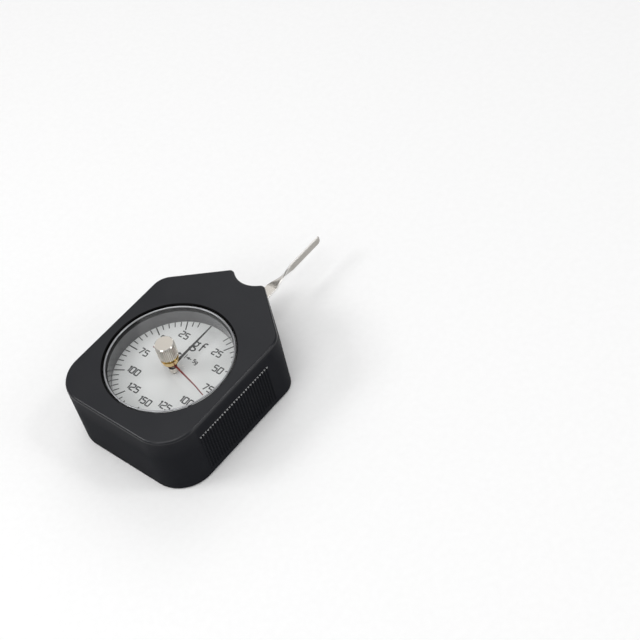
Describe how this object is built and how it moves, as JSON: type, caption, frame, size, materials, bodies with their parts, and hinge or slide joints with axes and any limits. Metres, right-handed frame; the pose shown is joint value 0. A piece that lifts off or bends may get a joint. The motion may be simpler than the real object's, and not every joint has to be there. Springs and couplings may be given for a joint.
{
  "type": "dial tension gauge",
  "caption": "Palm-sized dial tension gauge: black case with a round window and a white two-way force scale, a knurled reset knob and a twisted, sprung feeler lever at its nose.",
  "frame": {"origin": "where the dial axis meets the case's flat back", "axes": "+Z out of the dial along its axis, +Y towards the lever's tip"},
  "size_m": [0.0608, 0.1165, 0.0355],
  "materials": {
    "case_black": "fine matte texture",
    "dial_white": "silvery white matte",
    "wall_grey": "satin",
    "crystal": "clear",
    "bright_nickel": "polished nickel plate",
    "knob_nickel": "knurled nickel plate",
    "brass": "turned",
    "screw_steel": "turned",
    "spring_steel": "blued",
    "pointer_black": "matte paint",
    "pointer_red": "matte paint",
    "washer_dark": "matte"
  },
  "bodies": {
    "case": {"front_housing": "case_black", "rear_cover": "case_black", "cover_screws": "screw_steel", "crystal": "crystal", "crystal_ring": "wall_grey", "dial_ring": "wall_grey", "dial_plate": "dial_white", "upper_plate": "brass", "lower_plate": "brass", "plate_pillars": "screw_steel", "pillar_screws": "screw_steel", "plate_screws": "screw_steel", "arbor_lower_bush": "brass", "arbor_upper_bush": "brass", "lever_lower_bush": "brass", "lever_upper_bush": "brass", "hairspring_stud": "screw_steel", "measuring_spring_stud": "screw_steel", "stop_pins": "screw_steel", "hairspring": "spring_steel", "measuring_spring": "spring_steel", "knob_bush": "brass"},
    "lever": {"lever_blade": "bright_nickel", "lever_carrier": "screw_steel", "lever_rivets": "bright_nickel", "lever_shaft": "screw_steel", "sector_gear": "brass", "measuring_spring_collet": "brass"},
    "pointer": {"pointer_arbor": "screw_steel", "pinion": "brass", "hairspring_collet": "brass", "pointer_hub": "bright_nickel", "measuring_pointer": "pointer_black"},
    "reset": {"reset_knob": "knob_nickel", "reset_stem": "screw_steel", "friction_washer": "washer_dark", "peak_pointer_hub": "bright_nickel", "peak_pointer": "pointer_red"}
  },
  "joints": [
    {"name": "lever_pivot", "type": "hinge", "parent": "case", "child": "lever", "pos_m": [0, 0.032, 0.01], "axis": [0, 0, 1], "range_deg": [-15, 15], "stiffness_Nm_per_rad": 0.29, "deforming": ["measuring_spring"]},
    {"name": "pointer_spin", "type": "hinge", "parent": "case", "child": "pointer", "pos_m": [0, 0, 0.01], "axis": [0, 0, 1], "continuous": true, "deforming": ["hairspring"]},
    {"name": "reset_turn", "type": "hinge", "parent": "case", "child": "reset", "pos_m": [0, 0, 0.03], "axis": [0, 0, 1], "continuous": true}
  ],
  "couplings": [
    {"joint": "pointer_spin", "follows": "lever_pivot", "ratio": -12}
  ]
}
